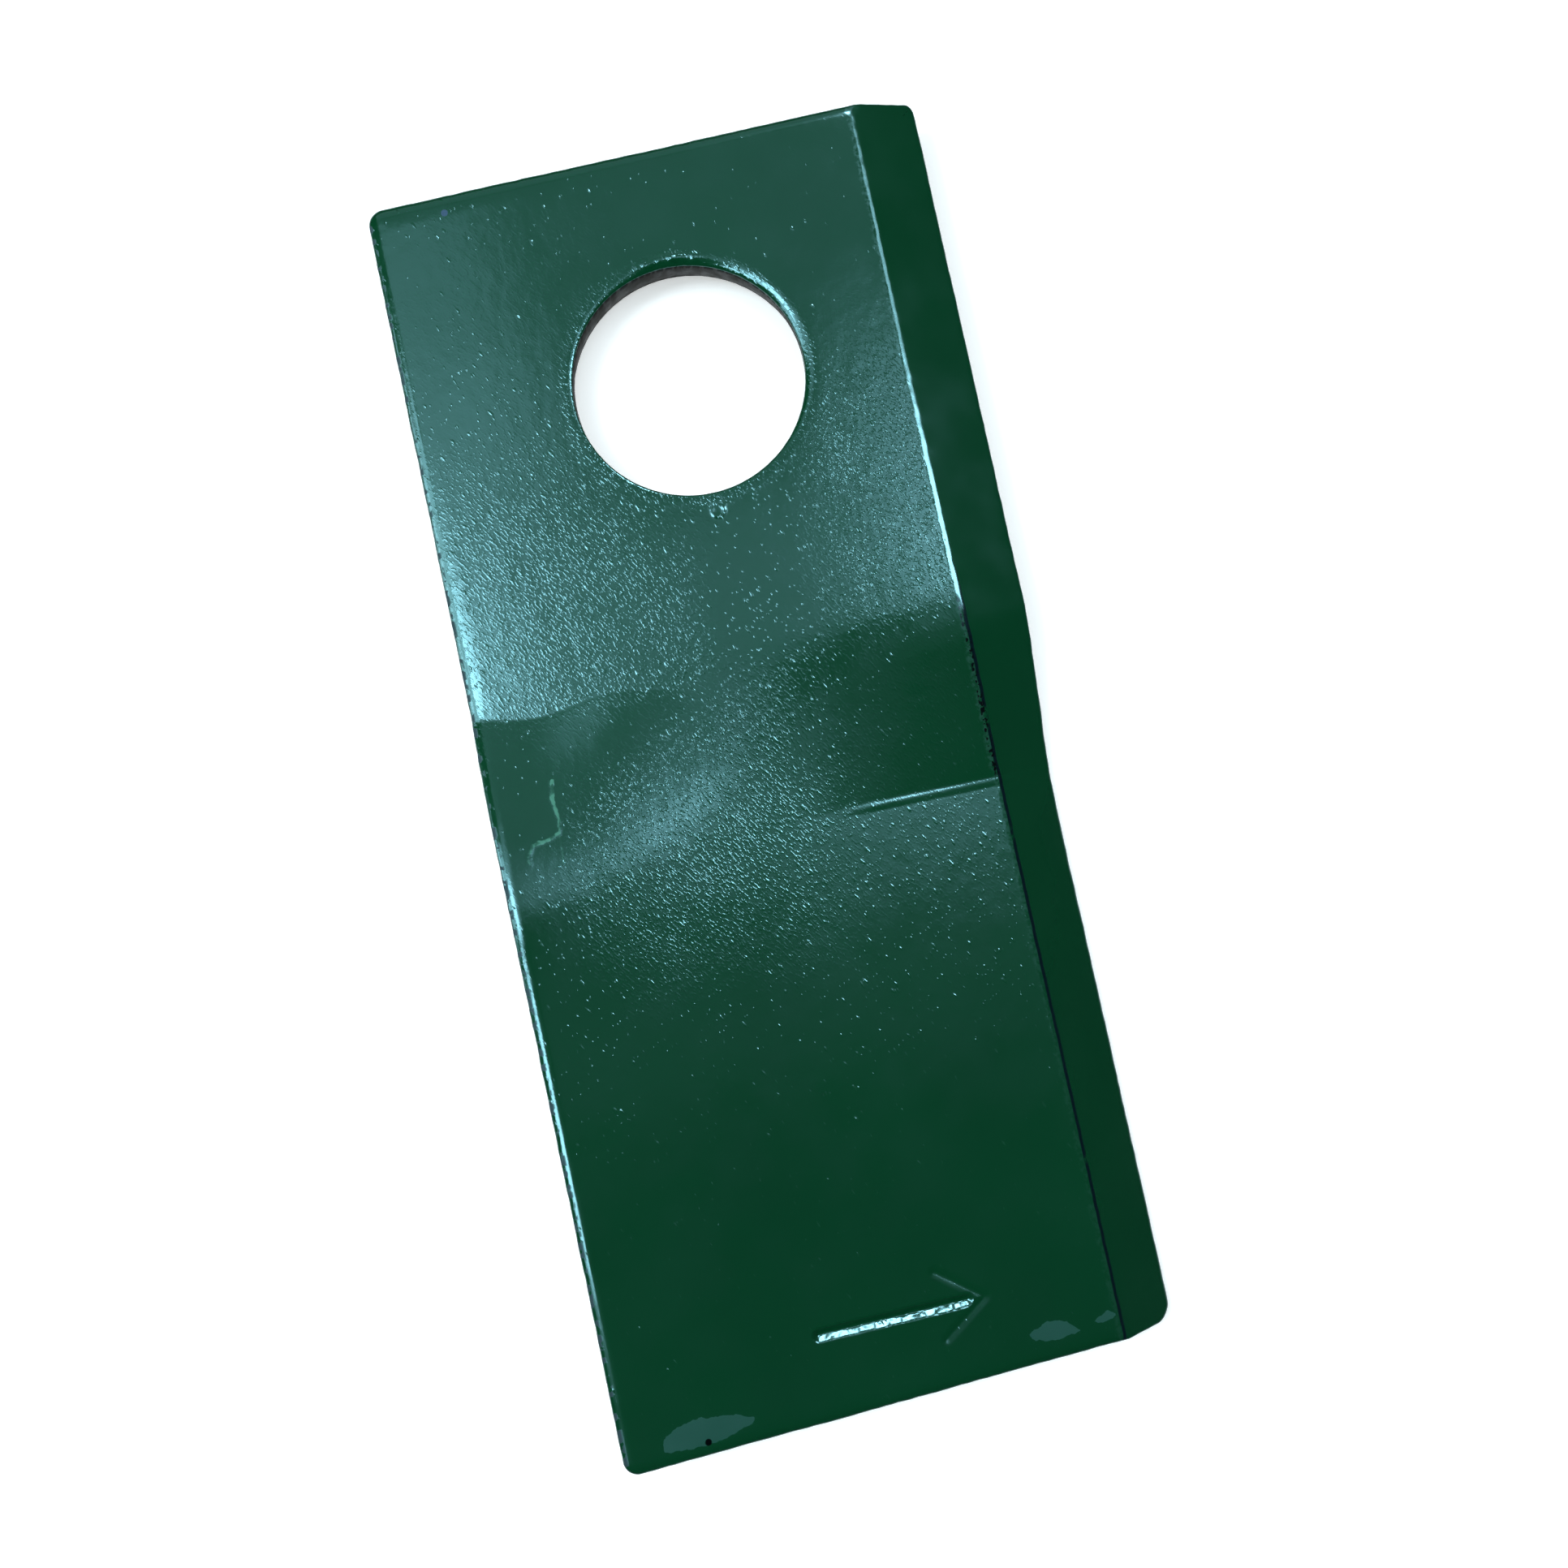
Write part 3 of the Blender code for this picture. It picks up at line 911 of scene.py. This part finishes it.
def green_paint():
    """Dip paint: dark green gloss, with orange peel, dust nibs, worn and bare places, and painted
    highlight and shade along the bevel's shoulder.
    """
    nodes = Nodes("green dip paint")
    place = nodes.attribute("flat_place", "Vector")
    parts = nodes.tree.nodes.new("ShaderNodeSeparateXYZ")
    nodes.put(parts.inputs[0], place)
    x, y, z = parts.outputs
    shoulder = nodes.attribute("shoulder_distance", "Fac")
    on_face = nodes.ramp(z, 1.0, 1.4)
    on_bevel = nodes.product(nodes.ramp(shoulder, -0.6, 0.1), nodes.ramp(z, -1.6, -1.2))
    smoother_tip = nodes.ramp(y, -12.0, -34.0, 1.0, 0.15)
    rough = nodes.product(nodes.math("SUBTRACT", 1.0, on_bevel), smoother_tip)
    relief, nibs = paint_relief(nodes, place, x, y, rough)

    patch = nodes.ragged(nodes.attribute("patch_distance", "Fac"), place, 0.7)
    bare = nodes.product(nodes.ramp(patch, 0.05, -0.05), on_face)
    notches = nodes.product(
        nodes.ramp(nodes.noise(place, 0.7), 0.50, 0.56),
        nodes.ramp(x, -24.1, -24.4),
    )
    ink = nodes.product(nodes.spot(place, INK_SPOT, INK_SPOT_RADIUS), on_face)
    dot = nodes.product(nodes.spot(place, DARK_DOT, DARK_DOT_RADIUS), on_face)

    green = nodes.blend(nodes.noise(place, 16.0, detail=4.0), GREEN_DEEP, GREEN_LIGHT)
    green = nodes.blend(nodes.product(nibs, 0.08), green, NIB_PALE)
    green = nodes.blend(bare, green, BARE_PALE)
    green = nodes.blend(dried_paint(nodes, place, on_face), green, DRIED_PALE)
    green = shoulder_wear_and_painted_light(nodes, green, place, shoulder, y, on_face)
    green = nodes.blend(notches, green, NOTCH_DARK)
    green = nodes.blend(ink, green, INK_BLUE)
    green = nodes.blend(dot, green, DOT_DARK)
    nodes.put(nodes.shader.inputs["Base Color"], green)
    nodes.shader.inputs["IOR"].default_value = 1.6
    nodes.shader.inputs["Specular Tint"].default_value = GLOSS_TINT

    roughness = nodes.math(
        "ADD",
        nodes.ramp(nodes.noise(place, 5.0, detail=3.0), 0.3, 0.7, 0.12, 0.17),
        nodes.product(bare, 0.18),
        nodes.product(ink, 0.45),
        nodes.product(dot, -0.2),
        nodes.product(notches, 0.6),
    )
    nodes.put(nodes.shader.inputs["Roughness"], roughness)
    bump = nodes.add("ShaderNodeBump", "Normal", Height=relief, Distance=MM)
    nodes.put(nodes.shader.inputs["Normal"], bump)
    return nodes.material


def hole_wall_paint_and_shade():
    """Thin dark paint over the sheared and torn wall of the pin hole; its near-black colour is
    partly painted shade of the hole.
    """
    nodes = Nodes("thin paint and painted shade in the hole")
    place = nodes.attribute("flat_place", "Vector")
    blotches = nodes.noise(nodes.scaled(place, 1.0, 1.0, 0.5), 1.2, detail=4.0)
    dirt = nodes.ramp(blotches, 0.42, 0.62)
    # The near-black base is partly painted shade inside the hole
    colour = nodes.blend(dirt, HOLE_PAINT_AND_SHADE, HOLE_DIRT)
    nodes.put(nodes.shader.inputs["Base Color"], colour)
    nodes.put(nodes.shader.inputs["Roughness"], nodes.ramp(blotches, 0.3, 0.7, 0.45, 0.7))
    nodes.shader.inputs["Specular IOR Level"].default_value = 0.1
    streaks = nodes.noise(nodes.scaled(place, 1.0, 1.0, 0.15), 0.35, detail=2.0)
    bump = nodes.add("ShaderNodeBump", "Normal", Height=streaks, Distance=0.05 * MM)
    nodes.put(nodes.shader.inputs["Normal"], bump)
    return nodes.material


def floor_material():
    """Pale floor that the camera and reflections see as white, and that keeps the shadow."""
    nodes = Nodes("white floor")
    tree = nodes.tree
    nodes.shader.inputs["Base Color"].default_value = FLOOR_PALE
    nodes.shader.inputs["Roughness"].default_value = 0.9
    nodes.shader.inputs["Specular IOR Level"].default_value = 0.1
    path = tree.nodes.new("ShaderNodeLightPath")
    rays = ("Is Camera Ray", "Is Glossy Ray", "Is Transmission Ray")
    seen = nodes.math("MAXIMUM", *(path.outputs[ray] for ray in rays))
    glow = tree.nodes.new("ShaderNodeEmission")
    glow.inputs["Color"].default_value = (1.0, 1.0, 1.0, 1.0)
    nodes.put(glow.inputs["Strength"], nodes.product(seen, FLOOR_GLOW))
    add = tree.nodes.new("ShaderNodeAddShader")
    tree.links.new(nodes.shader.outputs[0], add.inputs[0])
    tree.links.new(glow.outputs[0], add.inputs[1])
    tree.links.new(add.outputs[0], tree.nodes["Material Output"].inputs["Surface"])
    return nodes.material


def build_floor():
    half = 3.0
    mesh = bpy.data.meshes.new("floor")
    corners = [(-half, -half, 0.0), (half, -half, 0.0), (half, half, 0.0), (-half, half, 0.0)]
    mesh.from_pydata(corners, [], [(0, 1, 2, 3)])
    mesh.materials.append(floor_material())
    floor = bpy.data.objects.new("floor", mesh)
    bpy.context.scene.collection.objects.link(floor)
    return floor


def softbox(name, place, size, radiance):
    """Rectangular lamp that faces the blade."""
    lamp = bpy.data.lights.new(name, "AREA")
    lamp.shape = "RECTANGLE"
    lamp.size, lamp.size_y = size
    lamp.energy = 4 * radiance * size[0] * size[1]
    lamp.color = COOL
    box = bpy.data.objects.new(name, lamp)
    box.location = place
    back = Vector(place).normalized()
    up = back.cross(Vector((1.0, 0.0, 0.0))).normalized()
    side = up.cross(back)
    box.rotation_euler = Matrix((side, up, back)).transposed().to_euler()
    bpy.context.scene.collection.objects.link(box)
    return box


def light_studio():
    world = bpy.data.worlds.new("studio")
    bpy.context.scene.world = world
    world.use_nodes = True
    background = world.node_tree.nodes["Background"]
    background.inputs["Color"].default_value = (*COOL, 1.0)
    background.inputs["Strength"].default_value = WORLD_STRENGTH
    for window in WINDOWS:
        softbox(*window)
    for window in HIGHLIGHTS:
        softbox(*window).visible_diffuse = False
    softbox(*SOFT_KEY).visible_glossy = False


def build_camera():
    settings = bpy.data.cameras.new("camera")
    settings.sensor_width = SENSOR_WIDTH
    settings.lens = CAMERA_LENS
    settings.clip_start = 0.005
    settings.clip_end = 20.0
    camera = bpy.data.objects.new("camera", settings)
    camera.location = CAMERA_PLACE
    camera.rotation_euler = [math.radians(turn) for turn in CAMERA_TURN]
    bpy.context.scene.collection.objects.link(camera)
    bpy.context.scene.camera = camera


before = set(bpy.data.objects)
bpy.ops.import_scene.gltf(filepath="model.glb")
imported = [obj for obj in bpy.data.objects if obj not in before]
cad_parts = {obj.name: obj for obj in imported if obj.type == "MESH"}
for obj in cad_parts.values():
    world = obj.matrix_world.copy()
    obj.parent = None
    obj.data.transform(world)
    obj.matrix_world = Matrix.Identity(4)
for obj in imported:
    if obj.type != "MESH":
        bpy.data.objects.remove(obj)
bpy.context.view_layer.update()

blade = build_blade()
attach(blade, "root")
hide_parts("blade")
build_floor()
light_studio()
build_camera()
bpy.context.scene.view_settings.view_transform = "Standard"
